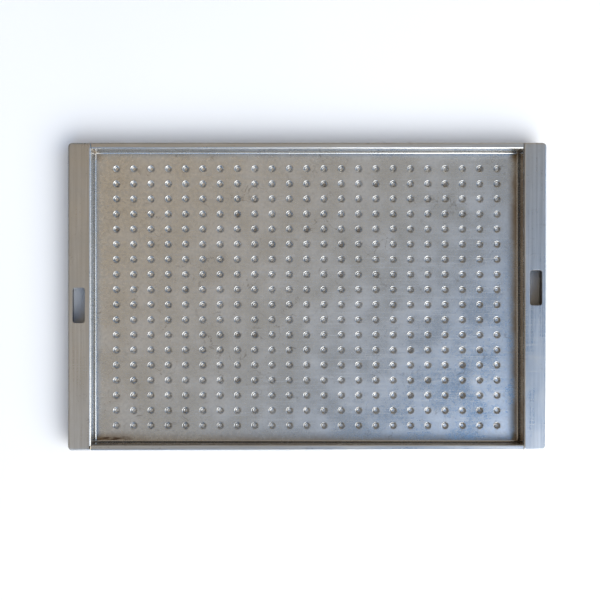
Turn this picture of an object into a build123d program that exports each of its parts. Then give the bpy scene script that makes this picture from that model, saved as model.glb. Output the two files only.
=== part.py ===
from build123d import *
import os

# Pill counting tray: a shallow rectangular tray folded and welded from stainless sheet.
# A dimpled floor panel lies on the ledges of four folded rails. Each dimple holds one tablet.
# The two end rails are wide, with a finger slot each, and are the same part turned half round.
# The tray stands on the bottom edges of the rails' outer lips, with its dimples just clear below.
# Frame: millimetres, +X along the tray's length, +Z up, origin under its centre on the table.

# Overall size
LENGTH = 609.6
WIDTH = 392.0
HEIGHT = 25.0
WELL_DEPTH = 20.0

# Sheet and bends
RAIL_SHEET = 1.2
FLOOR_SHEET = 1.0
END_BEND = 2.6
SIDE_BEND = 2.0
LEDGE_BEND = 2.4

# Rails
END_RAIL_WIDTH = 29.8
SIDE_RAIL_WIDTH = 7.9
OUTER_CORNER = 5.5
LEDGE_WIDTH = 14.0

# Finger slots
SLOT_WIDTH = 15.7
SLOT_LENGTH = 45.0
SLOT_CORNER = 3.5
SLOT_INSET = 14.1
SLOT_OFFSET = 11.2

# Dimples
DIMPLES_X = 23
DIMPLES_Y = 18
PITCH_X = 22.45
PITCH_Y = 19.6
DIMPLE_RADIUS = 4.7
DIMPLE_FLAT = 1.4
DIMPLE_DEPTH = 2.6
FLOOR_GAP = 0.2
FLOOR_CORNER = 1.5

# Plug welds that hold the floor panel down to the ledges
PLUG_RADIUS = 3.0
PLUG_BUTTON_RADIUS = 4.0
PLUG_BUTTON_HEIGHT = 0.6
PLUG_PITCH = 60.0
PLUGS_ON_SIDE = 9
PLUGS_ON_END = 6

# Corner welds: leg of a fillet bead, and how far its hollow face stands off the corner
WELD_LEG = 1.6
WELD_THROAT = 0.6

# Worked out from the sizes above
WELL_X = LENGTH / 2 - END_RAIL_WIDTH
WELL_Y = WIDTH / 2 - SIDE_RAIL_WIDTH
FLOOR_TOP = HEIGHT - WELL_DEPTH
LEDGE_TOP = FLOOR_TOP - FLOOR_SHEET
LEDGE_BOTTOM = LEDGE_TOP - RAIL_SHEET
LEDGE_MIDDLE = (LEDGE_TOP + LEDGE_BOTTOM) / 2
FOOT_TOP = LEDGE_TOP + LEDGE_BEND
PLUG_INSET = (LEDGE_BEND + LEDGE_WIDTH) / 2

# Overshoot of a cutting tool past the metal that it cuts
PAST = 1.0


def block(x0, x1, y0, y1, z0, z1):
    """A box between two corners."""
    size = (x1 - x0, y1 - y0, z1 - z0)
    middle = ((x0 + x1) / 2, (y0 + y1) / 2, (z0 + z1) / 2)
    return Pos(*middle) * Box(*size)


def dimple_solid(offset, top):
    """Round solid of a dimple's punch, grown by an offset, from its flat tip up to a height."""
    bend = ((DIMPLE_RADIUS - DIMPLE_FLAT) ** 2 + DIMPLE_DEPTH**2) / (2 * DIMPLE_DEPTH)
    centre_z = FLOOR_TOP - DIMPLE_DEPTH + bend
    radius = bend + offset
    tip = centre_z - radius
    rim_z = FLOOR_TOP - offset
    rim = DIMPLE_FLAT + (radius**2 - (centre_z - rim_z) ** 2) ** 0.5
    # A point halfway round the bend fixes the arc.
    middle_z = (tip + rim_z) / 2
    middle = DIMPLE_FLAT + (radius**2 - (centre_z - middle_z) ** 2) ** 0.5
    outline = Line((0, tip), (DIMPLE_FLAT, tip))
    outline += ThreePointArc((DIMPLE_FLAT, tip), (middle, middle_z), (rim, rim_z))
    outline += Polyline((rim, rim_z), (rim, top), (0, top), (0, tip))
    return revolve(make_face(Plane.XZ * outline), Axis.Z)


def floor_panel():
    """Flat sheet with a grid of round dimples pressed down into it."""
    half_x = WELL_X - LEDGE_BEND - FLOOR_GAP
    half_y = WELL_Y - LEDGE_BEND - FLOOR_GAP
    outline = RectangleRounded(2 * half_x, 2 * half_y, FLOOR_CORNER)
    panel = Pos(0, 0, LEDGE_TOP) * extrude(outline, amount=FLOOR_SHEET)
    grid = GridLocations(PITCH_X, PITCH_Y, DIMPLES_X, DIMPLES_Y)
    boss = dimple_solid(FLOOR_SHEET, FLOOR_TOP - FLOOR_SHEET / 2)
    hollow = dimple_solid(0, FLOOR_TOP + PAST)
    panel = panel + [place * boss for place in grid]
    return panel - [place * hollow for place in grid]


def foot_section(wall):
    """Section of a rail's foot: the hollow bend below the wall and the ledge that it turns into."""
    outer = LEDGE_BEND + RAIL_SHEET
    quarter = (Circle(outer) - Circle(LEDGE_BEND)) & (
        Pos(outer / 2, -outer / 2) * Rectangle(outer, outer)
    )
    ledge = Rectangle(LEDGE_WIDTH - LEDGE_BEND, RAIL_SHEET)
    ledge_x = wall - (LEDGE_WIDTH + LEDGE_BEND) / 2
    return Pos(wall - LEDGE_BEND, FOOT_TOP) * quarter + Pos(ledge_x, LEDGE_MIDDLE) * ledge


def mitred(foot, half_length, wall, along):
    """Cut a foot's ends at 45 degrees, so that two feet meet on the diagonal of a corner."""
    outer = wall + LEDGE_WIDTH
    outer_half = half_length + LEDGE_WIDTH
    inner = wall - LEDGE_WIDTH - PAST
    inner_half = half_length - LEDGE_WIDTH - PAST
    corners = [
        (outer, -outer_half),
        (outer, outer_half),
        (inner, inner_half),
        (inner, -inner_half),
    ]
    if along == "x":
        corners = [(y, x) for x, y in corners]
    outline = make_face(Polyline(*corners, close=True))
    return foot & extrude(outline, amount=HEIGHT)


def slot_cutter(x, y):
    """Finger slot cut down through a rail's top."""
    slot = RectangleRounded(SLOT_WIDTH, SLOT_LENGTH, SLOT_CORNER)
    return Pos(x, y, HEIGHT / 2) * extrude(slot, amount=HEIGHT)


def plug_holes(places):
    """Punched holes through a ledge."""
    return [Pos(x, y, LEDGE_MIDDLE) * Cylinder(PLUG_RADIUS, 2 * RAIL_SHEET) for x, y in places]


def side_plug_places(side):
    """Centres of the plug welds along the front (-1) or rear (+1) ledge."""
    y = side * (WELL_Y - PLUG_INSET)
    first = -(PLUGS_ON_SIDE - 1) / 2 * PLUG_PITCH
    return [(first + i * PLUG_PITCH, y) for i in range(PLUGS_ON_SIDE)]


def end_plug_places(side):
    """Centres of the plug welds along the left (-1) or right (+1) ledge."""
    x = side * (WELL_X - PLUG_INSET)
    first = -(PLUGS_ON_END - 1) / 2 * PLUG_PITCH
    return [(x, first + i * PLUG_PITCH) for i in range(PLUGS_ON_END)]


def end_rail():
    """Right end rail: an upside-down channel with a finger slot, outer lips and a ledge."""
    half_y = WIDTH / 2
    wall_back = WELL_X + RAIL_SHEET
    lip_y = half_y - RAIL_SHEET
    body = block(WELL_X, LENGTH / 2, -half_y, half_y, 0, HEIGHT)
    body = fillet(body.edges().filter_by(Axis.Z).group_by(Axis.X)[-1], OUTER_CORNER)
    body = fillet(body.faces().sort_by(Axis.Z)[-1].edges(), END_BEND)
    hollow = block(
        wall_back, LENGTH / 2 - RAIL_SHEET, -lip_y, lip_y, -PAST, HEIGHT - RAIL_SHEET
    )
    corner = OUTER_CORNER - RAIL_SHEET
    hollow = fillet(hollow.edges().filter_by(Axis.Z).group_by(Axis.X)[-1], corner)
    hollow = fillet(hollow.faces().sort_by(Axis.Z)[-1].edges(), END_BEND - RAIL_SHEET)
    rail = body - hollow
    rail -= block(WELL_X - PAST, wall_back, -WELL_Y, WELL_Y, -PAST, FOOT_TOP)
    foot = extrude(Plane.XZ * foot_section(WELL_X), amount=WELL_Y, both=True)
    rail += mitred(foot, WELL_Y, WELL_X, "y")
    rail -= slot_cutter(LENGTH / 2 - SLOT_INSET, SLOT_OFFSET)
    return rail - plug_holes(end_plug_places(1))


def side_rail():
    """Rear side rail: a narrow upside-down channel between the end rails, with a ledge."""
    half_y = WIDTH / 2
    wall_back = WELL_Y + RAIL_SHEET
    body = block(-WELL_X, WELL_X, WELL_Y, half_y, 0, HEIGHT)
    body = fillet(body.edges().filter_by(Axis.X).group_by(Axis.Z)[-1], SIDE_BEND)
    hollow = block(
        -WELL_X - PAST,
        WELL_X + PAST,
        wall_back,
        half_y - RAIL_SHEET,
        -PAST,
        HEIGHT - RAIL_SHEET,
    )
    top_edges = hollow.edges().filter_by(Axis.X).group_by(Axis.Z)[-1]
    rail = body - fillet(top_edges, SIDE_BEND - RAIL_SHEET)
    rail -= block(-WELL_X - PAST, WELL_X + PAST, WELL_Y - PAST, wall_back, -PAST, FOOT_TOP)
    foot = extrude(Plane.YZ * foot_section(WELL_Y), amount=WELL_X, both=True)
    rail += mitred(foot, WELL_X, WELL_Y, "x")
    return rail - plug_holes(side_plug_places(1))


def plug_welds(places):
    """Weld metal that fills a ledge's punched holes and stands a little proud below them."""
    reach = PLUG_BUTTON_RADIUS
    ball_radius = (reach**2 + PLUG_BUTTON_HEIGHT**2) / (2 * PLUG_BUTTON_HEIGHT)
    ball = Pos(0, 0, LEDGE_BOTTOM - PLUG_BUTTON_HEIGHT + ball_radius) * Sphere(ball_radius)
    button = ball & block(-reach, reach, -reach, reach, 0, LEDGE_BOTTOM)
    plug = button + Pos(0, 0, LEDGE_MIDDLE) * Cylinder(PLUG_RADIUS, RAIL_SHEET)
    return Compound([Pos(x, y) * plug for x, y in places])


def fillet_bead(corner, toward, z0, z1):
    """Upright weld bead in a square corner, with its hollow face toward the given diagonal."""
    x, y = corner
    along_x = (x + toward[0] * WELD_LEG, y)
    along_y = (x, y + toward[1] * WELD_LEG)
    belly = (x + toward[0] * WELD_THROAT, y + toward[1] * WELD_THROAT)
    outline = Line(corner, along_x)
    outline += ThreePointArc(along_x, belly, along_y)
    outline += Line(along_y, corner)
    return Pos(0, 0, z0) * extrude(make_face(outline), amount=z1 - z0)


def corner_welds(side_x, side_y):
    """The two beads of one corner: inside the well, and inside the side rail's lip."""
    well_corner = (side_x * WELL_X, side_y * WELL_Y)
    lip_corner = (side_x * WELL_X, side_y * (WIDTH / 2 - RAIL_SHEET))
    inward = (-side_x, -side_y)
    return [
        fillet_bead(well_corner, inward, FOOT_TOP, HEIGHT - END_BEND),
        fillet_bead(lip_corner, inward, LEDGE_TOP, HEIGHT - END_BEND),
    ]


def seam_fill(side_x, side_y):
    """Weld metal ground flush in the groove between a side rail's end and the end rail's bend."""
    x = side_x * WELL_X
    top = (x, HEIGHT)
    foot = (x, HEIGHT - END_BEND)
    lip = (x + side_x * END_BEND, HEIGHT)
    reach = END_BEND * (1 - 0.5**0.5)
    belly = (x + side_x * reach, HEIGHT - reach)
    outline = Line(foot, top) + Line(top, lip) + ThreePointArc(lip, belly, foot)
    half_length = SIDE_RAIL_WIDTH / 2 - SIDE_BEND
    plug = extrude(make_face(Plane.XZ * outline), amount=half_length, both=True)
    return Pos(0, side_y * (WIDTH / 2 - SIDE_RAIL_WIDTH / 2), 0) * plug


def parts():
    """Every sub-part by its node name."""
    right_end = end_rail()
    rear_side = side_rail()
    half_turn = Rot(0, 0, 180)
    return {
        "dimpled_floor_panel": floor_panel(),
        "right_end_rail": right_end,
        "left_end_rail": half_turn * right_end,
        "rear_side_rail": rear_side,
        "front_side_rail": half_turn * rear_side,
        "left_plug_welds": plug_welds(end_plug_places(-1)),
        "right_plug_welds": plug_welds(end_plug_places(1)),
        "front_plug_welds": plug_welds(side_plug_places(-1)),
        "rear_plug_welds": plug_welds(side_plug_places(1)),
        "front_left_corner_welds": Compound(corner_welds(-1, -1) + [seam_fill(-1, -1)]),
        "front_right_corner_welds": Compound(corner_welds(1, -1)),
        "rear_left_corner_welds": Compound(corner_welds(-1, 1)),
        "rear_right_corner_welds": Compound(corner_welds(1, 1)),
    }


os.makedirs("parts", exist_ok=True)
for node, shape in parts().items():
    export_step(shape, f"parts/{node}.step")
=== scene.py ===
import math
import random

import bmesh
import bpy
from mathutils import Matrix, Vector


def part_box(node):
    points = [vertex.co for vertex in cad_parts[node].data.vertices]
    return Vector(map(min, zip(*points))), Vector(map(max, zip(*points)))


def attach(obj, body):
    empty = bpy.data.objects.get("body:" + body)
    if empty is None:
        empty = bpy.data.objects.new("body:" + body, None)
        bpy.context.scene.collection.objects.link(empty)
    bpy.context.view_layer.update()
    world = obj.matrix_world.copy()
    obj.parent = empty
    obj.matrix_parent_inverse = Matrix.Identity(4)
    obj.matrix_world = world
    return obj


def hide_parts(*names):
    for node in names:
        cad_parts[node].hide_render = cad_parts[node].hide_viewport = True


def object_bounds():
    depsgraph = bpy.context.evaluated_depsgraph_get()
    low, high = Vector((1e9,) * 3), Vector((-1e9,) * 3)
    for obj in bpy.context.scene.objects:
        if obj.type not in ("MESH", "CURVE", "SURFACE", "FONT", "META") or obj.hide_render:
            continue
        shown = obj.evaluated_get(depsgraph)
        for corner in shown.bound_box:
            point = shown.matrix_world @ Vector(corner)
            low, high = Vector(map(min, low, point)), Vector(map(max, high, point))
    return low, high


# Looks of the pill counting tray: a stainless tray folded and welded from sheet, with a floor
# panel of pressed dimples. Metres, in the CAD frame: +X along the tray, +Y to its rear, +Z up.

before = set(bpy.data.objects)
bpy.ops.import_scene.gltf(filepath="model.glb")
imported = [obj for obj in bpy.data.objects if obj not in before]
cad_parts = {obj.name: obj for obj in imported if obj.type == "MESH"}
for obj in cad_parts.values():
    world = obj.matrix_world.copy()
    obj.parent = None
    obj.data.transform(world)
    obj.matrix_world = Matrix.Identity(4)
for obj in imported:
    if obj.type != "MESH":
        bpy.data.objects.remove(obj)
CAD_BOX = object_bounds()
RANDOM = random.Random(7)

# Sheet and bends, as folded
RAIL_SHEET = 0.0012
FLOOR_SHEET = 0.0010
END_BEND = 0.0026
SIDE_BEND = 0.0020
LEDGE_BEND = 0.0024
LEDGE_WIDTH = 0.0140
OUTER_CORNER = 0.0055
EDGE_BREAK = 0.00018
EDGE_SEGMENTS = 2
EDGE_ANGLE = math.radians(50)
FLAT_WEIGHT = 80
SEAM_GAP = 0.00012

# Finger slots
SLOT_WIDTH = 0.0157
SLOT_LENGTH = 0.0450
SLOT_CORNER = 0.0035
SLOT_INSET = 0.0141
SLOT_OFFSET = 0.0112

# Dimples
DIMPLES_X = 23
DIMPLES_Y = 18
PITCH_X = 0.02245
PITCH_Y = 0.0196
DIMPLE_DEPTH = 0.0026
DIMPLE_FLAT = 0.0017
DIMPLE_TILT = math.radians(50)
DIMPLE_BEND = 0.0009
BOSS_MOUTH = 0.0002
SHEET_WAVE = 0.00005
SHEET_WAVES = ((17, 23, 0.4), (31, -19, 2.1), (-44, 37, 4.0))
GRID_X = PITCH_X * DIMPLES_X / 2
GRID_Y = PITCH_Y * DIMPLES_Y / 2

# Welds
PLUG_BUTTON_RADIUS = 0.0039
PLUG_BUTTON_HEIGHT = 0.00056
PLUG_RADIUS_SHARE = (0.9, 1.0)
PLUG_HEIGHT_SHARE = (0.75, 1.0)
PLUG_DOME = 0.93
PLUG_RIPPLE = 0.06
PLUG_CRATER = 0.22
PLUG_CRATER_SLOPE = 3.5
PLUG_TIP = 0.02
PLUG_PITCH = 0.060
PLUGS_ON_SIDE = 9
PLUGS_ON_END = 6
PLUG_INSET = (LEDGE_BEND + LEDGE_WIDTH) / 2
WELD_LEG = 0.0015
WELD_RIPPLE = 0.0011
WELD_HOLLOW = -0.25
BEAD_BASE = 0.86
BEAD_SWELL = 0.11
BEAD_STRAY = 0.03
RIPPLE_STEPS = 6
BEAD_POINTS = 6
FILL_SINK = 0.00006
PLUG_RINGS = 14
PLUG_RIPPLES = 7
PLUG_SPOKES = 28
PLUG_ROOT = 0.0003

# Sizes read from the frame
OUT_X, OUT_Y, HEIGHT = CAD_BOX[1]
FLOOR_X, FLOOR_Y, FLOOR_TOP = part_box("dimpled_floor_panel")[1]
WELL_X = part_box("rear_side_rail")[1].x
WELL_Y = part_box("rear_side_rail")[0].y + LEDGE_WIDTH
LEDGE_TOP = FLOOR_TOP - FLOOR_SHEET
LEDGE_BOTTOM = LEDGE_TOP - RAIL_SHEET
FOOT_TOP = LEDGE_TOP + LEDGE_BEND
LIP_BOTTOM = CAD_BOX[0].z

# How finely round shapes are divided
BEND_STEPS = 7
CORNER_STEPS = 8
WELL_COLUMNS = 16
BOWL_STEPS = 3
BOSS_STEPS = 2
MOUTH_STEPS = 1
TOP_SPOKES = 20
UNDER_SPOKES = 12

# Stage and camera
STAGE_SIZE = 24.0
STAGE_SQUARES = 8
STAGE_DROP = 0.0001
SENSOR_WIDTH = 36.0
NEAR_CLIP = 0.01
CAMERA_RISE = 0.944
CAMERA_FOOT = (-0.033, -0.040)
VIEW_CENTRE = (-0.0093, -0.0044)
VIEW_FILL = 0.7993

# Surroundings: the bright side's direction, tones by how far a direction leans towards it, and
# how much of them is left by height above the horizon
BRIGHT_SIDE = (0.72, -0.69, 0.0)
SKY = (
    (-1.00, (0.34, 0.33, 0.32)),
    (-0.80, (0.12, 0.11, 0.10)),
    (-0.60, (0.06, 0.052, 0.042)),
    (-0.42, (0.50, 0.40, 0.29)),
    (-0.28, (0.78, 0.66, 0.51)),
    (-0.12, (0.50, 0.46, 0.41)),
    (0.00, (0.60, 0.60, 0.59)),
    (0.12, (0.40, 0.40, 0.39)),
    (0.28, (0.17, 0.42, 0.86)),
    (0.44, (0.20, 0.62, 1.45)),
    (0.54, (2.90, 3.05, 3.15)),
    (1.00, (3.30, 3.35, 3.35)),
)
HORIZON = (
    (0.00, (0.05, 0.055, 0.06)),
    (0.22, (0.10, 0.11, 0.12)),
    (0.40, (1.00, 1.00, 1.00)),
    (1.00, (1.00, 1.00, 1.00)),
)

# Window light
WINDOW_PLACE = (1.2, -1.3, 1.1)
WINDOW_AIM = (0.0, 0.0, 0.0)
WINDOW_SIZE = (2.2, 1.6)
WINDOW_POWER = 32.0
WINDOW_TINT = (1.0, 0.98, 0.95)

# Colours, and how metallic the rails are on top and on their walls
RAIL_DARK = (0.44, 0.43, 0.41, 1.0)
RAIL_PALE = (0.555, 0.545, 0.525, 1.0)
RAIL_GRAIN = (0.40, 0.395, 0.38, 1.0)
RAIL_SMUDGE = (0.45, 0.43, 0.39, 1.0)
FLOOR_DARK = (0.53, 0.525, 0.51, 1.0)
FLOOR_PALE = (0.62, 0.615, 0.60, 1.0)
FLOOR_MOTTLE = (0.42, 0.41, 0.39, 1.0)
HEAT_TINT = (0.25, 0.18, 0.11, 1.0)
STAIN = (0.20, 0.17, 0.14, 1.0)
# Painted shade colour for the faces inside the end rails' channels
INSIDE_SHADE_TONE = (0.13, 0.11, 0.09, 1.0)
SCORCH = (0.07, 0.04, 0.025, 1.0)
WELD_GREY = (0.46, 0.44, 0.41, 1.0)
WELD_STRAW = (0.36, 0.30, 0.22, 1.0)
WELD_BLUE = (0.22, 0.22, 0.25, 1.0)
PAINT_DARK = (0.94, 0.94, 0.94, 1.0)
PAINT_PALE = (0.97, 0.97, 0.97, 1.0)
RAIL_METAL = 0.94
WALL_METAL = 0.78

# Patterns: features per metre, detail, roughness, turn, distortion
RAIL_SMUDGES = (17.0, 5.0, 0.62, 0.4, 0.6)
RAIL_SPOTS = (420.0, 3.0, 0.6)
FLOOR_CLOUD = (22.0, 5.0, 0.6)
FLOOR_GRAIN = (230.0, 4.0, 0.62)
FLOOR_SPECKS = (1500.0, 3.0, 0.6)
FLOOR_PATCHES = (75.0, 5.0, 0.65, 0.7, 0.5)
SCORCH_RUNS = ((55.0, 520.0, 520.0), 4.0, 0.65, 0.05, 0.4)
WELD_PATCHES = (320.0, 3.0, 0.6)
WELD_SKIN = (4200.0, 4.0, 0.6)
PAINT_CLOUD = (2.0, 2.0)
PAINT_TOOTH = (700.0, 2.0)

# Brushing: length and width of a streak, and its detail
BROAD_STREAKS = (0.160, 0.0030, 4.0)
FINE_STREAKS = (0.040, 0.0005, 6.0)
STREAK_ROUGHNESS = 0.6

# Scratches: turns of each set, and how rare they are
RAIL_SCRATCHES = ((0.5, 1.3, 2.4), 0.68)
FLOOR_SCRATCHES = ((0.2, 1.1, 1.9, 2.8), 0.67)

# Dried liquid: scale of its outlines, and their width
RAIL_DRIED = (60.0, 0.012)
FLOOR_DRIED = (42.0, 0.010)

# Where marks start and where they are full, in from the edge that they follow
CORNER_TINT = (0.012, 0.0)
WALL_TINT = (0.001, 0.010)
TOP_FINISH = (0.0012, 0.0002)
GROUND_CORNER = (0.008, 0.003)
# Reach of the painted shade inside the end rails' channels
INSIDE_SHADE_REACH = (0.0009, 0.0012)
FLOOR_CORNER_TINT = (0.013, 0.0)
# The next two place painted shade along the floor's front and right edges
FLOOR_EDGE_SHADE = (0.014, 0.001)
FRONT_SHADE_FADE = (0.090, 0.010)
SCORCH_X = (-0.222, -0.242)
SCORCH_Y = (-0.1785, -0.1825)
GRIME_CHANCE = (0.93, 0.95)
GRIME_DISC = (0.0032, 0.0012)
# Painted shade ring round each dimple's mouth: its radius and half width
SHADE_RING_RADIUS = 0.0049
SHADE_RING_WIDTH = 0.0006

# Depths of surface relief
RAIL_FINE_RELIEF = 0.000006
RAIL_SCRATCH_RELIEF = 0.000006
RAIL_SMUDGE_RELIEF = 0.00006
FLOOR_CLOUD_RELIEF = 0.00025
FLOOR_GRAIN_RELIEF = 0.000018
FLOOR_SPECK_RELIEF = 0.0000018
FLOOR_SCRATCH_RELIEF = 0.000004
SKIN_RELIEF = 0.00002

QUARTER = math.radians(90)
HALF_TURN = Matrix.Rotation(math.pi, 3, "Z")
STEEP_BELOW = 0.7
GRAIN_MAP = "grain"
SAME_PLACE = 1e-6
KEYS_PER_METRE = 1e6
SMALLEST = 1e-9


# ---------------------------------------------------------------- mesh helpers


def new_piece(name, bm):
    """A smooth-shaded object made from a bmesh."""
    mesh = bpy.data.meshes.new(name)
    bm.to_mesh(mesh)
    bm.free()
    mesh.polygons.foreach_set("use_smooth", [True] * len(mesh.polygons))
    piece = bpy.data.objects.new(name, mesh)
    bpy.context.scene.collection.objects.link(piece)
    return piece


def stand_for(piece, node, material):
    """Tie a finished piece to the CAD node that it stands for."""
    piece.data.materials.append(material)
    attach(piece, "root")
    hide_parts(node)


def break_edges(piece):
    """Round off the cut edges of a sheet a little, and keep its flats flat."""
    edge = piece.modifiers.new("broken_edges", "BEVEL")
    edge.width = EDGE_BREAK
    edge.segments = EDGE_SEGMENTS
    edge.limit_method = "ANGLE"
    edge.angle_limit = EDGE_ANGLE
    flat = piece.modifiers.new("flat_normals", "WEIGHTED_NORMAL")
    flat.weight = FLAT_WEIGHT


def grain_map(piece, along):
    """UVs in metres with U across the brushing, for the direction of its gloss."""
    layer = piece.data.uv_layers.new(name=GRAIN_MAP)
    for polygon in piece.data.polygons:
        steep = abs(polygon.normal.z) < STEEP_BELOW
        for index in polygon.loop_indices:
            co = piece.data.vertices[piece.data.loops[index].vertex_index].co
            run, side = (co.x, co.y) if along == "x" else (co.y, co.x)
            layer.data[index].uv = (co.z if steep else side, run)


def bridge(bm, row_a, row_b, closed=False):
    """Quads between two rows of vertices."""
    count = len(row_a)
    for i in range(count if closed else count - 1):
        j = (i + 1) % count
        bm.faces.new((row_a[i], row_a[j], row_b[j], row_b[i]))


def arc(cx, cy, radius, start, end, steps):
    """Points along an arc between two angles in quarter turns."""
    points = []
    for step in range(steps + 1):
        angle = QUARTER * (start + (end - start) * step / steps)
        points.append((cx + radius * math.cos(angle), cy + radius * math.sin(angle)))
    return points


# ---------------------------------------------------------------- rails


def foot_profile(offset):
    """(distance into the well, height) round the bend at a wall's foot and out along its ledge."""
    bend = arc(LEDGE_BEND, FOOT_TOP, LEDGE_BEND + offset, 2, 3, BEND_STEPS)
    return bend + [(LEDGE_WIDTH, LEDGE_TOP - offset)]


def slot_outline(x, y):
    """Points round a finger slot, anticlockwise."""
    points = []
    for quarter, (sx, sy) in enumerate(((1, 1), (-1, 1), (-1, -1), (1, -1))):
        cx = x + sx * (SLOT_WIDTH / 2 - SLOT_CORNER)
        cy = y + sy * (SLOT_LENGTH / 2 - SLOT_CORNER)
        points += arc(cx, cy, SLOT_CORNER, quarter, quarter + 1, CORNER_STEPS)
    return points


def end_rail_outline(inset):
    """Points round the right end rail's top, clockwise from the well side, drawn in by an inset."""
    edge_y = OUT_Y - inset
    points = [(WELL_X + inset, -edge_y)]
    for i in range(WELL_COLUMNS + 1):
        points.append((WELL_X + inset, WELL_Y * (2 * i / WELL_COLUMNS - 1)))
    points.append((WELL_X + inset, edge_y))
    corner_x = OUT_X - OUTER_CORNER
    corner_y = OUT_Y - OUTER_CORNER
    radius = OUTER_CORNER - inset
    points += arc(corner_x, corner_y, radius, 1, 0, CORNER_STEPS)
    points += arc(corner_x, -corner_y, radius, 0, -1, CORNER_STEPS)
    return points


def end_rail_skin(bm, offset):
    """One face of the right end rail's sheet, an offset below its outside."""
    rings = []
    for inset, drop in arc(END_BEND, END_BEND, END_BEND - offset, 3, 2, BEND_STEPS):
        outline = end_rail_outline(inset)
        rings.append([bm.verts.new((x, y, HEIGHT - drop)) for x, y in outline])
    rings.append([bm.verts.new((x, y, FOOT_TOP)) for x, y in end_rail_outline(offset)])
    for upper, lower in zip(rings, rings[1:]):
        bridge(bm, upper, lower, closed=True)
    centre = (OUT_X - SLOT_INSET, SLOT_OFFSET)
    slot = [bm.verts.new((x, y, HEIGHT - offset)) for x, y in slot_outline(*centre)]
    edges = []
    for loop in (rings[0], slot):
        for a, b in zip(loop, loop[1:] + loop[:1]):
            edges.append(bm.edges.get((a, b)) or bm.edges.new((a, b)))
    bmesh.ops.triangle_fill(bm, edges=edges, use_beauty=True, normal=(0, 0, 1))
    # The wall's lowest row is also the first row of the bend at its foot
    wall = [rings[-1][1 : WELL_COLUMNS + 2]]
    for depth, z in foot_profile(offset)[1:]:
        mitre = 1 - max(depth, 0) / WELL_Y
        wall.append([bm.verts.new((WELL_X - depth, v.co.y * mitre, z)) for v in wall[0]])
    for upper, lower in zip(wall, wall[1:]):
        bridge(bm, upper, lower)
    lip = rings[-1][WELL_COLUMNS + 1 :] + rings[-1][:2]
    hem = [bm.verts.new((v.co.x, v.co.y, LIP_BOTTOM)) for v in lip]
    bridge(bm, lip, hem)
    rims = [wall[-1], [row[0] for row in wall], [row[-1] for row in wall]]
    rims += [hem, (lip[0], hem[0]), (lip[-1], hem[-1])]
    return slot, rims


def end_rail(name, side, material):
    """Wide rail at one end: top with a finger slot, outer lips, and a well wall with its ledge."""
    bm = bmesh.new()
    outer_slot, outer_rims = end_rail_skin(bm, 0)
    inner_slot, inner_rims = end_rail_skin(bm, RAIL_SHEET)
    bridge(bm, outer_slot, inner_slot, closed=True)
    for outer, inner in zip(outer_rims, inner_rims):
        bridge(bm, outer, inner)
    if side < 0:
        bmesh.ops.rotate(bm, verts=bm.verts, matrix=HALF_TURN)
    finish_rail(bm, name, "y", material)


def side_rail_skin(bm, offset):
    """One face of the rear side rail's sheet, an offset below its outside, as rows along it."""
    top_depth = WELL_Y - OUT_Y
    profile = foot_profile(offset)[::-1]
    bend = HEIGHT - SIDE_BEND
    profile += arc(-SIDE_BEND, bend, SIDE_BEND - offset, 0, 1, BEND_STEPS)
    profile += arc(top_depth + SIDE_BEND, bend, SIDE_BEND - offset, 1, 2, BEND_STEPS)
    profile.append((top_depth + offset, LIP_BOTTOM))
    rows = []
    for depth, z in profile:
        half = WELL_X - SEAM_GAP - max(depth, 0)
        xs = [half * (2 * i / WELL_COLUMNS - 1) for i in range(WELL_COLUMNS + 1)]
        rows.append([bm.verts.new((x, WELL_Y - depth, z)) for x in xs])
    for row_a, row_b in zip(rows, rows[1:]):
        bridge(bm, row_a, row_b)
    return [rows[0], rows[-1], [row[0] for row in rows], [row[-1] for row in rows]]


def side_rail(name, side, material):
    """Narrow rail along one side: a wall with its ledge, a thin top and an outer lip."""
    bm = bmesh.new()
    for outer, inner in zip(side_rail_skin(bm, 0), side_rail_skin(bm, RAIL_SHEET)):
        bridge(bm, outer, inner)
    if side < 0:
        bmesh.ops.rotate(bm, verts=bm.verts, matrix=HALF_TURN)
    finish_rail(bm, name, "x", material)


def finish_rail(bm, name, along, material):
    """Close up a rail's mesh and turn it into a finished piece brushed along its length."""
    bmesh.ops.recalc_face_normals(bm, faces=bm.faces)
    piece = new_piece(f"{name}_sheet", bm)
    grain_map(piece, along)
    break_edges(piece)
    stand_for(piece, name, material)


# ---------------------------------------------------------------- floor


def sheet_wave(x, y):
    """Slight unevenness of the pressed sheet: height above flat, and its slopes."""
    height = slope_x = slope_y = 0.0
    for kx, ky, phase in SHEET_WAVES:
        turn = kx * x + ky * y + phase
        height += SHEET_WAVE * (1 + math.sin(turn)) / len(SHEET_WAVES)
        slope_x += SHEET_WAVE * kx * math.cos(turn) / len(SHEET_WAVES)
        slope_y += SHEET_WAVE * ky * math.cos(turn) / len(SHEET_WAVES)
    return height, slope_x, slope_y


def dimple_profile(tip_bend, mouth_bend, tip_steps, mouth_steps):
    """(radius, depth, slope angle) from a dimple's flat tip up its cone and over its mouth."""
    rows = []
    for step in range(tip_steps + 1):
        angle = DIMPLE_TILT * step / tip_steps
        depth = DIMPLE_DEPTH - tip_bend * (1 - math.cos(angle))
        rows.append((DIMPLE_FLAT + tip_bend * math.sin(angle), depth, angle))
    cone_height = rows[-1][1] - mouth_bend * (1 - math.cos(DIMPLE_TILT))
    cone_end = rows[-1][0] + cone_height / math.tan(DIMPLE_TILT)
    reach = cone_end + mouth_bend * math.sin(DIMPLE_TILT)
    for step in range(mouth_steps + 1):
        angle = DIMPLE_TILT * (1 - step / mouth_steps)
        depth = mouth_bend * (1 - math.cos(angle))
        rows.append((reach - mouth_bend * math.sin(angle), depth, angle))
    return rows


def spoke_angles(spokes):
    """Directions of a dimple's spokes, half a step round from its x axis."""
    return [2 * math.pi * (i + 0.5) / spokes for i in range(spokes)]


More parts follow.
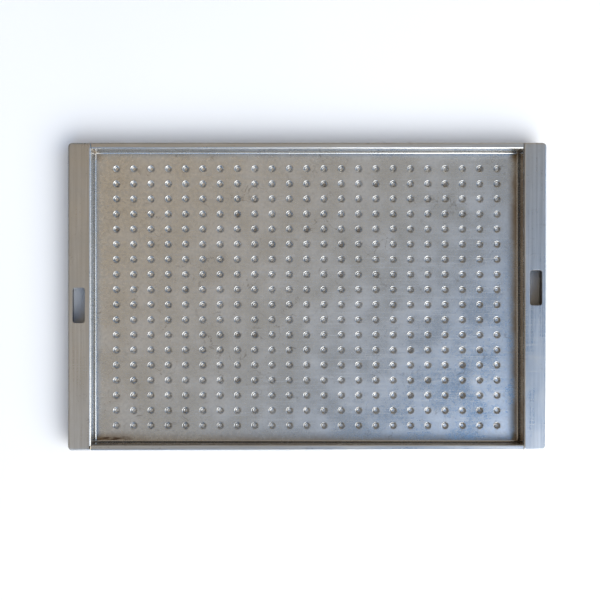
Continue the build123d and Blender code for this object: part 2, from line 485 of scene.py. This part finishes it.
def cell_edge_point(angle):
    """Where a spoke meets the edge of its dimple's cell, with one spoke pulled to each corner."""
    c, s = math.cos(angle), math.sin(angle)
    if abs(abs(c) - abs(s)) < SAME_PLACE:
        return math.copysign(PITCH_X / 2, c), math.copysign(PITCH_Y / 2, s)
    reach_x = PITCH_X / 2 / max(abs(c), SMALLEST)
    reach_y = PITCH_Y / 2 / max(abs(s), SMALLEST)
    reach = min(reach_x, reach_y)
    return reach * c, reach * s


class Sheet:
    """One face of the floor sheet: vertices shared where they meet, with their true normals."""

    def __init__(self, level, upward):
        self.level = level
        self.upward = upward
        self.points = []
        self.normals = []
        self.faces = []
        self.known = {}

    def vertex(self, x, y, depth=0.0, tilt=(0.0, 0.0)):
        key = tuple(round(size * KEYS_PER_METRE) for size in (x, y, depth))
        if key not in self.known:
            height, slope_x, slope_y = sheet_wave(x, y)
            normal = Vector((tilt[0] - slope_x, tilt[1] - slope_y, 1.0)).normalized()
            self.known[key] = len(self.points)
            self.points.append((x, y, self.level - depth + height))
            self.normals.append(normal if self.upward else -normal)
        return self.known[key]

    def face(self, indices):
        self.faces.append(indices if self.upward else indices[::-1])

    def dimple(self, x, y, profile, spokes):
        """A dimple and the flat of its cell."""
        angles = spoke_angles(spokes)
        rows = []
        for radius, depth, slope in profile:
            lean = -math.tan(slope)
            row = []
            for angle in angles:
                c, s = math.cos(angle), math.sin(angle)
                row.append(self.vertex(x + radius * c, y + radius * s, depth, (lean * c, lean * s)))
            rows.append(row)
        rows.append([self.vertex(x + px, y + py) for px, py in map(cell_edge_point, angles)])
        centre = self.vertex(x, y, profile[0][1])
        for i in range(spokes):
            j = (i + 1) % spokes
            self.face([centre, rows[0][i], rows[0][j]])
            for inner, outer in zip(rows, rows[1:]):
                self.face([inner[i], outer[i], outer[j], inner[j]])

    def margin(self, x, y, side_x, side_y, spokes):
        """The flat strip from a cell on the grid's edge out to the sheet's edge."""
        edge = [(x + px, y + py) for px, py in map(cell_edge_point, spoke_angles(spokes))]
        if side_x:
            line = x + side_x * PITCH_X / 2
            inner = sorted(p for p in edge if abs(p[0] - line) < SAME_PLACE)
            outer = [(side_x * FLOOR_X, inner[-1][1]), (side_x * FLOOR_X, inner[0][1])]
        else:
            line = y + side_y * PITCH_Y / 2
            inner = sorted(p for p in edge if abs(p[1] - line) < SAME_PLACE)
            outer = [(inner[-1][0], side_y * FLOOR_Y), (inner[0][0], side_y * FLOOR_Y)]
        loop = [self.vertex(px, py) for px, py in inner + outer]
        self.face(loop[::-1] if side_x > 0 or side_y < 0 else loop)


def floor_outline():
    """Points round the floor sheet's edge, anticlockwise, at its corners and each cell's ends."""
    grid_x = [PITCH_X * (i - DIMPLES_X / 2) for i in range(DIMPLES_X + 1)]
    grid_y = [PITCH_Y * (i - DIMPLES_Y / 2) for i in range(DIMPLES_Y + 1)]
    points = [(-FLOOR_X, -FLOOR_Y)] + [(x, -FLOOR_Y) for x in grid_x]
    points += [(FLOOR_X, -FLOOR_Y)] + [(FLOOR_X, y) for y in grid_y]
    points += [(FLOOR_X, FLOOR_Y)] + [(x, FLOOR_Y) for x in grid_x[::-1]]
    points += [(-FLOOR_X, FLOOR_Y)] + [(-FLOOR_X, y) for y in grid_y[::-1]]
    return points


def fill_sheet(sheet, profile, spokes):
    """All of one face of the floor sheet: dimples, margins and corners."""
    last_x, last_y = DIMPLES_X - 1, DIMPLES_Y - 1
    for i in range(DIMPLES_X):
        for j in range(DIMPLES_Y):
            x = PITCH_X * (i - last_x / 2)
            y = PITCH_Y * (j - last_y / 2)
            sheet.dimple(x, y, profile, spokes)
            if i in (0, last_x):
                sheet.margin(x, y, 1 if i else -1, 0, spokes)
            if j in (0, last_y):
                sheet.margin(x, y, 0, 1 if j else -1, spokes)
    for sx, sy in ((1, 1), (-1, 1), (-1, -1), (1, -1)):
        corner = [(GRID_X, GRID_Y), (FLOOR_X, GRID_Y), (FLOOR_X, FLOOR_Y), (GRID_X, FLOOR_Y)]
        loop = [sheet.vertex(sx * x, sy * y) for x, y in corner]
        sheet.face(loop if sx * sy > 0 else loop[::-1])


def floor_panel(name, material):
    """The floor sheet: a top face and an underside full of dimples, joined round their edges."""
    top = Sheet(FLOOR_TOP, True)
    under = Sheet(LEDGE_TOP, False)
    bowl = dimple_profile(DIMPLE_BEND, DIMPLE_BEND, BOWL_STEPS, BOWL_STEPS)
    boss = dimple_profile(DIMPLE_BEND + FLOOR_SHEET, BOSS_MOUTH, BOSS_STEPS, MOUTH_STEPS)
    fill_sheet(top, bowl, TOP_SPOKES)
    fill_sheet(under, boss, UNDER_SPOKES)
    shift = len(top.points)
    points = top.points + under.points
    faces = top.faces + [[i + shift for i in face] for face in under.faces]
    curved = len(faces)
    outline = floor_outline()
    for a, b in zip(outline, outline[1:] + outline[:1]):
        upper = [top.vertex(*a), top.vertex(*b)]
        lower = [under.vertex(*b) + shift, under.vertex(*a) + shift]
        faces.append((upper + lower)[::-1])
    mesh = bpy.data.meshes.new(name)
    mesh.from_pydata(points, [], faces)
    mesh.polygons.foreach_set("use_smooth", [True] * len(mesh.polygons))
    normals = top.normals + under.normals
    loops = []
    for polygon in mesh.polygons:
        flat = polygon.index >= curved
        for vertex in polygon.vertices:
            loops.append(polygon.normal if flat else normals[vertex])
    mesh.normals_split_custom_set(loops)
    piece = bpy.data.objects.new(name, mesh)
    bpy.context.scene.collection.objects.link(piece)
    stand_for(piece, "dimpled_floor_panel", material)


# ---------------------------------------------------------------- welds


def loft(bm, sections):
    """A closed bar through matching closed sections."""
    rows = [[bm.verts.new(point) for point in section] for section in sections]
    for row_a, row_b in zip(rows, rows[1:]):
        bridge(bm, row_a, row_b, closed=True)
    bm.faces.new(rows[0][::-1])
    bm.faces.new(rows[-1])


def upright_bead(bm, corner, toward, low, high):
    """Weld bead up a square corner, in the ripples that its puddle left behind."""
    steps = max(4, round((high - low) / WELD_RIPPLE * RIPPLE_STEPS))
    sections = []
    for step in range(steps + 1):
        z = low + (high - low) * step / steps
        swell = abs(math.sin(math.pi * (z - low) / WELD_RIPPLE))
        size = WELD_LEG * (BEAD_BASE + BEAD_SWELL * swell + BEAD_STRAY * RANDOM.random())
        section = [(corner[0], corner[1], z)]
        for i in range(BEAD_POINTS + 1):
            share = i / BEAD_POINTS
            bulge = 1 + WELD_HOLLOW * math.sin(math.pi * share)
            px = size * (1 - share) * bulge
            py = size * share * bulge
            section.append((corner[0] + toward[0] * px, corner[1] + toward[1] * py, z))
        sections.append(section)
    loft(bm, sections)


def seam_fill(bm, side_x, side_y):
    """Weld metal ground flush in the groove between a side rail's end and the end rail's bend."""
    low_y = WELL_Y + SIDE_BEND
    high_y = OUT_Y - SIDE_BEND
    sections = []
    for step in range(BEND_STEPS + 1):
        y = side_y * (low_y + (high_y - low_y) * step / BEND_STEPS)
        hollow = arc(END_BEND, HEIGHT - END_BEND, END_BEND, 2, 1, BEND_STEPS)
        section = [(side_x * (WELL_X + x), y, z) for x, z in hollow]
        section.append((side_x * WELL_X, y, HEIGHT - FILL_SINK * RANDOM.random()))
        sections.append(section)
    loft(bm, sections)


def corner_welds(name, side_x, side_y, material, filled=False):
    """The beads of one corner: inside the well, and inside the side rail's lip."""
    bm = bmesh.new()
    well = (side_x * WELL_X, side_y * WELL_Y)
    lip = (side_x * WELL_X, side_y * (OUT_Y - RAIL_SHEET))
    inward = (-side_x, -side_y)
    bead_top = HEIGHT - END_BEND
    upright_bead(bm, well, inward, FOOT_TOP, bead_top)
    upright_bead(bm, lip, inward, LEDGE_TOP, bead_top)
    if filled:
        seam_fill(bm, side_x, side_y)
    bmesh.ops.recalc_face_normals(bm, faces=bm.faces)
    piece = new_piece(f"{name}_beads", bm)
    stand_for(piece, name, material)


def plug_weld(bm, x, y):
    """One plug weld: a low rippled button below the ledge, with its crater at the middle."""
    size = PLUG_BUTTON_RADIUS * RANDOM.uniform(*PLUG_RADIUS_SHARE)
    proud = PLUG_BUTTON_HEIGHT * RANDOM.uniform(*PLUG_HEIGHT_SHARE)
    rows = []
    for step in range(PLUG_RINGS + 1):
        share = 1 - step / PLUG_RINGS
        ripple = PLUG_RIPPLE * math.cos(share * math.pi * PLUG_RIPPLES)
        crater = PLUG_CRATER * max(0.0, 1 - share * PLUG_CRATER_SLOPE)
        z = LEDGE_BOTTOM - proud * (1 - share**2) * (PLUG_DOME + ripple - crater)
        radius = size * max(share, PLUG_TIP)
        row = []
        for spoke in range(PLUG_SPOKES):
            angle = 2 * math.pi * spoke / PLUG_SPOKES
            place = (x + radius * math.cos(angle), y + radius * math.sin(angle), z)
            row.append(bm.verts.new(place))
        rows.append(row)
    root = [bm.verts.new((v.co.x, v.co.y, LEDGE_BOTTOM + PLUG_ROOT)) for v in rows[0]]
    bridge(bm, root, rows[0], closed=True)
    for row_a, row_b in zip(rows, rows[1:]):
        bridge(bm, row_a, row_b, closed=True)
    bm.faces.new(root)
    bm.faces.new(rows[-1][::-1])


def plug_welds(name, places, material):
    """The row of plug welds under one ledge."""
    bm = bmesh.new()
    for x, y in places:
        plug_weld(bm, x, y)
    bmesh.ops.recalc_face_normals(bm, faces=bm.faces)
    piece = new_piece(f"{name}_buttons", bm)
    stand_for(piece, name, material)


def plug_line(count):
    """Places of the plug welds along a ledge."""
    return [PLUG_PITCH * (i - (count - 1) / 2) for i in range(count)]


# ---------------------------------------------------------------- materials


class Graph:
    """One material's nodes, with short calls for the nodes that it uses."""

    def __init__(self, name):
        self.material = bpy.data.materials.new(name)
        self.material.use_nodes = True
        self.nodes = self.material.node_tree.nodes
        self.links = self.material.node_tree.links
        self.shader = self.nodes["Principled BSDF"]
        self.place = self.nodes.new("ShaderNodeTexCoord").outputs["Object"]

    def feed(self, socket, value):
        if isinstance(value, bpy.types.NodeSocket):
            self.links.new(value, socket)
        else:
            socket.default_value = value

    def math(self, operation, *values, clamp=False):
        node = self.nodes.new("ShaderNodeMath")
        node.operation = operation
        node.use_clamp = clamp
        for socket, value in zip(node.inputs, values):
            self.feed(socket, value)
        return node.outputs[0]

    def times(self, *values):
        """Several values multiplied together, in turn."""
        product = values[0]
        for value in values[1:]:
            product = self.math("MULTIPLY", product, value)
        return product

    def plus(self, *values):
        """Several values added together, in turn."""
        total = values[0]
        for value in values[1:]:
            total = self.math("ADD", total, value)
        return total

    def from_edge(self, value, edge, reach, low=0.0, high=1.0):
        """A ramp between two distances in from an edge, which reach gives as (start, full)."""
        start, full = reach
        return self.ramp(value, edge - start, edge - full, low, high)

    def cells(self):
        """Distance from the centre of a point's dimple cell, and that cell's random number."""
        x, y, _ = self.axes()
        column = self.math("ROUND", self.math("DIVIDE", x, PITCH_X))
        row = self.math("ROUND", self.math("SUBTRACT", self.math("DIVIDE", y, PITCH_Y), 0.5))
        off_x = self.math("SUBTRACT", x, self.times(column, PITCH_X))
        row_y = self.times(self.plus(row, 0.5), PITCH_Y)
        off_y = self.math("SUBTRACT", y, row_y)
        squares = [self.times(off, off) for off in (off_x, off_y)]
        distance = self.math("SQRT", self.plus(*squares))
        join = self.nodes.new("ShaderNodeCombineXYZ")
        self.feed(join.inputs[0], column)
        self.feed(join.inputs[1], row)
        chance = self.nodes.new("ShaderNodeTexWhiteNoise")
        self.feed(chance.inputs["Vector"], join.outputs[0])
        return distance, chance.outputs["Value"]

    def axes(self):
        """The object's x, y and z."""
        node = self.nodes.new("ShaderNodeSeparateXYZ")
        self.feed(node.inputs[0], self.place)
        return node.outputs[0], node.outputs[1], node.outputs[2]

    def noise(self, scale, detail=4.0, roughness=0.55, turn=0.0, distortion=0.0):
        """Noise from 0 to 1 with features 1/scale metres long: one scale, or one for each axis."""
        if not isinstance(scale, tuple):
            scale = (scale, scale, scale)
        mapping = self.nodes.new("ShaderNodeMapping")
        self.feed(mapping.inputs["Vector"], self.place)
        mapping.inputs["Rotation"].default_value = (0, 0, turn)
        mapping.inputs["Scale"].default_value = scale
        node = self.nodes.new("ShaderNodeTexNoise")
        self.feed(node.inputs["Vector"], mapping.outputs[0])
        node.inputs["Scale"].default_value = 1.0
        node.inputs["Detail"].default_value = detail
        node.inputs["Roughness"].default_value = roughness
        node.inputs["Distortion"].default_value = distortion
        return node.outputs["Fac"]

    def ramp(self, value, start, end, low=0.0, high=1.0):
        """A value carried smoothly from one range to another, held at its ends."""
        node = self.nodes.new("ShaderNodeMapRange")
        node.interpolation_type = "SMOOTHSTEP"
        names = ("Value", "From Min", "From Max", "To Min", "To Max")
        for name, item in zip(names, (value, start, end, low, high)):
            self.feed(node.inputs[name], item)
        return node.outputs["Result"]

    def mix(self, share, a, b):
        """Two colours mixed."""
        node = self.nodes.new("ShaderNodeMix")
        node.data_type = "RGBA"
        self.feed(node.inputs["Factor"], share)
        self.feed(node.inputs["A"], a)
        self.feed(node.inputs["B"], b)
        return node.outputs["Result"]

    def bump(self, height, depth, normal=None):
        """Surface relief: a height from 0 to 1 that stands for a depth in metres."""
        node = self.nodes.new("ShaderNodeBump")
        node.inputs["Strength"].default_value = 1.0
        node.inputs["Distance"].default_value = depth
        self.feed(node.inputs["Height"], height)
        if normal:
            self.feed(node.inputs["Normal"], normal)
        return node.outputs["Normal"]

    def finish(self, base, roughness, normal, metallic=1.0):
        self.feed(self.shader.inputs["Base Color"], base)
        self.feed(self.shader.inputs["Roughness"], roughness)
        self.feed(self.shader.inputs["Normal"], normal)
        self.feed(self.shader.inputs["Metallic"], metallic)
        return self.material


def scratches(graph, turns, rarity):
    """Fine stray scratches in several directions, from 0 to 1."""
    total = None
    for index, turn in enumerate(turns):
        lines = graph.noise((7.0 + 3 * index, 1500.0, 60.0), 1.0, 0.4, turn)
        line = graph.ramp(lines, rarity, rarity + 0.05)
        total = line if total is None else graph.math("MAXIMUM", total, line)
    return total


def dried_lines(graph, scale, width):
    """Thin winding outlines that dried liquid leaves here and there, from 0 to 1."""
    level = graph.noise(scale, 3.0, 0.5, 0.3, 0.8)
    line = graph.ramp(graph.math("ABSOLUTE", graph.math("SUBTRACT", level, 0.5)), width, 0.0)
    where = graph.noise(scale * 0.6, 2.0, 0.5, 1.9)
    return graph.times(line, graph.ramp(where, 0.52, 0.64))


def streaks(graph, along, length, width, detail):
    """Brushed streaks that run along x or y, from 0 to 1."""
    run, side = 1 / length, 1 / width
    scale = (run, side, side) if along == "x" else (side, run, side)
    return graph.noise(scale, detail, STREAK_ROUGHNESS)


def rail_steel(name, along):
    """Sheet brushed along a rail: streaks, scratches and smudges on top, smoother on its walls."""
    graph = Graph(name)
    broad = streaks(graph, along, *BROAD_STREAKS)
    fine = streaks(graph, along, *FINE_STREAKS)
    smudge = graph.noise(*RAIL_SMUDGES)
    spots = graph.noise(*RAIL_SPOTS)
    stray = scratches(graph, *RAIL_SCRATCHES)
    x, y, z = graph.axes()
    far_x, far_y = graph.math("ABSOLUTE", x), graph.math("ABSOLUTE", y)

    # Where things are: welded corners, the dull top, ground corners, and painted shade on the
    # sheet's inside
    tint = graph.times(
        graph.from_edge(far_x, WELL_X, CORNER_TINT),
        graph.from_edge(far_y, WELL_Y, CORNER_TINT),
        graph.from_edge(z, HEIGHT, WALL_TINT),
        graph.ramp(smudge, 0.2, 0.6),
    )
    dull = graph.from_edge(z, HEIGHT, TOP_FINISH)
    ground = graph.times(
        graph.from_edge(far_x, OUT_X, GROUND_CORNER),
        graph.from_edge(far_y, OUT_Y, GROUND_CORNER),
        0.7,
    )
    skin, core = INSIDE_SHADE_REACH
    inside_shade = graph.ramp(far_x, WELL_X + skin, WELL_X + core)
    for value, face in ((far_x, OUT_X), (far_y, OUT_Y), (z, HEIGHT)):
        inside_shade = graph.times(inside_shade, graph.ramp(value, face - skin, face - core))

    base = graph.mix(graph.ramp(broad, 0.3, 0.7), RAIL_DARK, RAIL_PALE)
    base = graph.mix(graph.ramp(fine, 0.35, 0.7, 0.0, 0.4), base, RAIL_GRAIN)
    base = graph.mix(graph.ramp(smudge, 0.46, 0.66, 0.0, 0.6), base, RAIL_SMUDGE)
    base = graph.mix(graph.times(dried_lines(graph, *RAIL_DRIED), 0.35), base, STAIN)
    spot = graph.times(graph.ramp(spots, 0.66, 0.74, 0.0, 0.35), dull)
    base = graph.mix(spot, base, STAIN)
    base = graph.mix(graph.times(tint, 0.7), base, HEAT_TINT)
    # Painted shade: near black on the faces inside the end rails' channels, seen through the finger
    # slots
    base = graph.mix(graph.times(inside_shade, 0.9), base, INSIDE_SHADE_TONE)

    rough = graph.plus(
        graph.ramp(broad, 0.25, 0.75, 0.15, 0.21),
        graph.times(dull, 0.13),
        graph.ramp(smudge, 0.3, 0.75, -0.03, 0.06),
        graph.times(stray, 0.10),
        graph.times(ground, 0.15),
    )
    normal = graph.bump(fine, RAIL_FINE_RELIEF)
    normal = graph.bump(stray, RAIL_SCRATCH_RELIEF, normal)
    normal = graph.bump(smudge, RAIL_SMUDGE_RELIEF, normal)

    grain = graph.nodes.new("ShaderNodeTangent")
    grain.direction_type = "UV_MAP"
    grain.uv_map = GRAIN_MAP
    graph.feed(graph.shader.inputs["Tangent"], grain.outputs[0])
    graph.feed(graph.shader.inputs["Anisotropic"], graph.times(dull, 0.5))
    metallic = graph.ramp(dull, 0.0, 1.0, WALL_METAL, RAIL_METAL)
    return graph.finish(base, rough, normal, metallic)


def floor_steel(name):
    """Dull satin sheet: mottled, lightly scratched, with heat tint in its welded corners, painted
    shade along its front and right edges and round each dimple's mouth, and grime in some dimples.
    """
    graph = Graph(name)
    x, y, _ = graph.axes()
    far_x, far_y = graph.math("ABSOLUTE", x), graph.math("ABSOLUTE", y)
    cloud = graph.noise(*FLOOR_CLOUD)
    mottle = graph.noise(*FLOOR_GRAIN)
    speck = graph.noise(*FLOOR_SPECKS)
    patch = graph.noise(*FLOOR_PATCHES)
    stray = scratches(graph, *FLOOR_SCRATCHES)
    distance, chance = graph.cells()

    # Painted shade along the front and right edges, where the dark walls are reflected, heat tint
    # in the corners, and a scorch at the front left
    corner = graph.times(
        graph.from_edge(far_x, FLOOR_X, FLOOR_CORNER_TINT),
        graph.from_edge(far_y, FLOOR_Y, FLOOR_CORNER_TINT),
    )
    start, full = FLOOR_EDGE_SHADE
    front = graph.ramp(y, -FLOOR_Y + start, -FLOOR_Y + full)
    right = graph.from_edge(x, FLOOR_X, FLOOR_EDGE_SHADE)
    start, full = FRONT_SHADE_FADE
    front_left = graph.ramp(x, -FLOOR_X + start, -FLOOR_X + full, 0.45, 1.0)
    edge_shade = graph.math("MAXIMUM", graph.times(front, front_left), right)
    tint = graph.times(edge_shade, graph.ramp(cloud, 0.30, 0.65, 0.35, 0.9))
    tint = graph.math("ADD", tint, graph.times(corner, 0.6), clamp=True)
    run = graph.noise(*SCORCH_RUNS)
    scorch = graph.times(
        graph.ramp(x, *SCORCH_X),
        graph.ramp(y, *SCORCH_Y),
        graph.ramp(run, 0.46, 0.56),
    )

    # Grime in some dimples, and a painted shade ring round each dimple's mouth, inside the grid
    # only
    grimy = graph.ramp(chance, *GRIME_CHANCE, 0.0, 0.75)
    grimy = graph.times(grimy, graph.ramp(distance, *GRIME_DISC))
    mouth_shade = graph.math("COMPARE", distance, SHADE_RING_RADIUS, SHADE_RING_WIDTH)
    mouth_shade = graph.times(mouth_shade, graph.ramp(mottle, 0.35, 0.65, 0.0, 0.4))
    in_grid = graph.times(
        graph.math("LESS_THAN", far_x, GRID_X),
        graph.math("LESS_THAN", far_y, GRID_Y),
    )
    dirt_and_shade = graph.times(graph.math("MAXIMUM", grimy, mouth_shade), in_grid)

    base = graph.mix(graph.ramp(cloud, 0.3, 0.7), FLOOR_DARK, FLOOR_PALE)
    base = graph.mix(graph.ramp(mottle, 0.35, 0.72, 0.0, 0.45), base, FLOOR_MOTTLE)
    base = graph.mix(graph.ramp(speck, 0.64, 0.74, 0.0, 0.35), base, STAIN)
    # Grime in some dimples, and a painted shade ring round every dimple's mouth
    base = graph.mix(dirt_and_shade, base, STAIN)
    base = graph.mix(graph.times(dried_lines(graph, *FLOOR_DRIED), 0.6), base, STAIN)
    base = graph.mix(graph.ramp(patch, 0.60, 0.76, 0.0, 0.35), base, STAIN)
    # Heat tint in the corners; the same colour along the front and right edges is painted shade
    base = graph.mix(tint, base, HEAT_TINT)
    base = graph.mix(graph.times(scorch, 0.85), base, SCORCH)

    rough = graph.plus(
        graph.ramp(cloud, 0.3, 0.7, 0.24, 0.32),
        graph.ramp(mottle, 0.3, 0.7, -0.03, 0.05),
        graph.times(stray, 0.08),
    )
    normal = graph.bump(cloud, FLOOR_CLOUD_RELIEF)
    normal = graph.bump(mottle, FLOOR_GRAIN_RELIEF, normal)
    normal = graph.bump(speck, FLOOR_SPECK_RELIEF, normal)
    normal = graph.bump(stray, FLOOR_SCRATCH_RELIEF, normal)
    return graph.finish(base, rough, normal)


def weld_steel(name):
    """Weld metal: a little darker, with straw, brown and blue heat colours and a rough skin."""
    graph = Graph(name)
    patch = graph.noise(*WELD_PATCHES)
    skin = graph.noise(*WELD_SKIN)
    straw = graph.mix(graph.ramp(patch, 0.3, 0.55), WELD_GREY, WELD_STRAW)
    base = graph.mix(graph.ramp(patch, 0.55, 0.75), straw, WELD_BLUE)
    rough = graph.ramp(skin, 0.3, 0.7, 0.28, 0.48)
    return graph.finish(base, rough, graph.bump(skin, SKIN_RELIEF))


def stage_paint(name):
    """Plain pale matt floor."""
    graph = Graph(name)
    cloud = graph.noise(*PAINT_CLOUD)
    tooth = graph.noise(*PAINT_TOOTH)
    tone = graph.mix(graph.ramp(cloud, 0.3, 0.7), PAINT_DARK, PAINT_PALE)
    rough = graph.ramp(cloud, 0.3, 0.7, 0.75, 0.85)
    return graph.finish(tone, rough, graph.bump(tooth, SKIN_RELIEF), 0.0)


# ---------------------------------------------------------------- stage


def stage():
    """A pale floor under the tray."""
    bm = bmesh.new()
    bmesh.ops.create_grid(bm, x_segments=STAGE_SQUARES, y_segments=STAGE_SQUARES, size=STAGE_SIZE)
    piece = new_piece("stage_floor", bm)
    piece.location.z = -STAGE_DROP
    piece.data.materials.append(stage_paint("stage_paint"))


def camera():
    """Camera above the tray, looking straight down, a little left and front of its middle."""
    data = bpy.data.cameras.new("camera")
    piece = bpy.data.objects.new("camera", data)
    bpy.context.scene.collection.objects.link(piece)
    view_width = 2 * OUT_X / VIEW_FILL
    data.sensor_width = SENSOR_WIDTH
    data.lens = data.sensor_width * CAMERA_RISE / view_width
    data.shift_x = (VIEW_CENTRE[0] - CAMERA_FOOT[0]) / view_width
    data.shift_y = (VIEW_CENTRE[1] - CAMERA_FOOT[1]) / view_width
    data.clip_start = NEAR_CLIP
    piece.location = (CAMERA_FOOT[0], CAMERA_FOOT[1], HEIGHT + CAMERA_RISE)
    bpy.context.scene.camera = piece


def panel_light(name, place, aim, size, power, tint):
    """A soft rectangular light that faces a point."""
    data = bpy.data.lights.new(name, "AREA")
    data.shape = "RECTANGLE"
    data.size, data.size_y = size
    data.energy = power
    data.color = tint
    piece = bpy.data.objects.new(name, data)
    bpy.context.scene.collection.objects.link(piece)
    piece.location = place
    piece.rotation_euler = (Vector(aim) - Vector(place)).to_track_quat("-Z", "Y").to_euler()


def sky_ramp(nodes, links, value, stops, low, high):
    """A colour ramp over a value from low to high."""
    place = nodes.new("ShaderNodeMapRange")
    place.inputs["From Min"].default_value = low
    place.inputs["From Max"].default_value = high
    links.new(value, place.inputs["Value"])
    ramp = nodes.new("ShaderNodeValToRGB")
    links.new(place.outputs["Result"], ramp.inputs["Fac"])
    elements = ramp.color_ramp.elements
    while len(elements) < len(stops):
        elements.new(0.5)
    for element, (stop, tone) in zip(elements, stops):
        element.position = (stop - low) / (high - low)
        element.color = (*tone, 1.0)
    return ramp.outputs["Color"]


def surroundings():
    """Soft studio surroundings: a bright cool side towards BRIGHT_SIDE, dim and warm behind it."""
    world = bpy.data.worlds.new("studio")
    bpy.context.scene.world = world
    world.use_nodes = True
    nodes, links = world.node_tree.nodes, world.node_tree.links
    direction = nodes.new("ShaderNodeTexCoord").outputs["Generated"]
    lean = nodes.new("ShaderNodeVectorMath")
    lean.operation = "DOT_PRODUCT"
    lean.inputs[1].default_value = BRIGHT_SIDE
    links.new(direction, lean.inputs[0])
    rise = nodes.new("ShaderNodeSeparateXYZ")
    links.new(direction, rise.inputs[0])
    sky = sky_ramp(nodes, links, lean.outputs["Value"], SKY, -1.0, 1.0)
    fade = sky_ramp(nodes, links, rise.outputs["Z"], HORIZON, 0.0, 1.0)
    both = nodes.new("ShaderNodeMix")
    both.data_type = "RGBA"
    both.blend_type = "MULTIPLY"
    both.inputs["Factor"].default_value = 1.0
    links.new(sky, both.inputs["A"])
    links.new(fade, both.inputs["B"])
    links.new(both.outputs["Result"], nodes["Background"].inputs["Color"])
    nodes["Background"].inputs["Strength"].default_value = 1.0


# ---------------------------------------------------------------- the tray


camera()
stage()
surroundings()
panel_light("window", WINDOW_PLACE, WINDOW_AIM, WINDOW_SIZE, WINDOW_POWER, WINDOW_TINT)

steel_y = rail_steel("steel_brushed_along_y", "y")
steel_x = rail_steel("steel_brushed_along_x", "x")
weld = weld_steel("weld_metal")

floor_panel("dimpled_floor_sheet", floor_steel("steel_satin"))
end_rail("right_end_rail", 1, steel_y)
end_rail("left_end_rail", -1, steel_y)
side_rail("rear_side_rail", 1, steel_x)
side_rail("front_side_rail", -1, steel_x)
corner_welds("front_left_corner_welds", -1, -1, weld, filled=True)
corner_welds("front_right_corner_welds", 1, -1, weld)
corner_welds("rear_left_corner_welds", -1, 1, weld)
corner_welds("rear_right_corner_welds", 1, 1, weld)
for side, end_name, side_name in ((-1, "left", "front"), (1, "right", "rear")):
    end_places = [(side * (WELL_X - PLUG_INSET), y) for y in plug_line(PLUGS_ON_END)]
    side_places = [(x, side * (WELL_Y - PLUG_INSET)) for x in plug_line(PLUGS_ON_SIDE)]
    plug_welds(f"{end_name}_plug_welds", end_places, weld)
    plug_welds(f"{side_name}_plug_welds", side_places, weld)

bpy.context.scene.view_settings.view_transform = "Standard"
bpy.context.scene.cycles.use_denoising = True
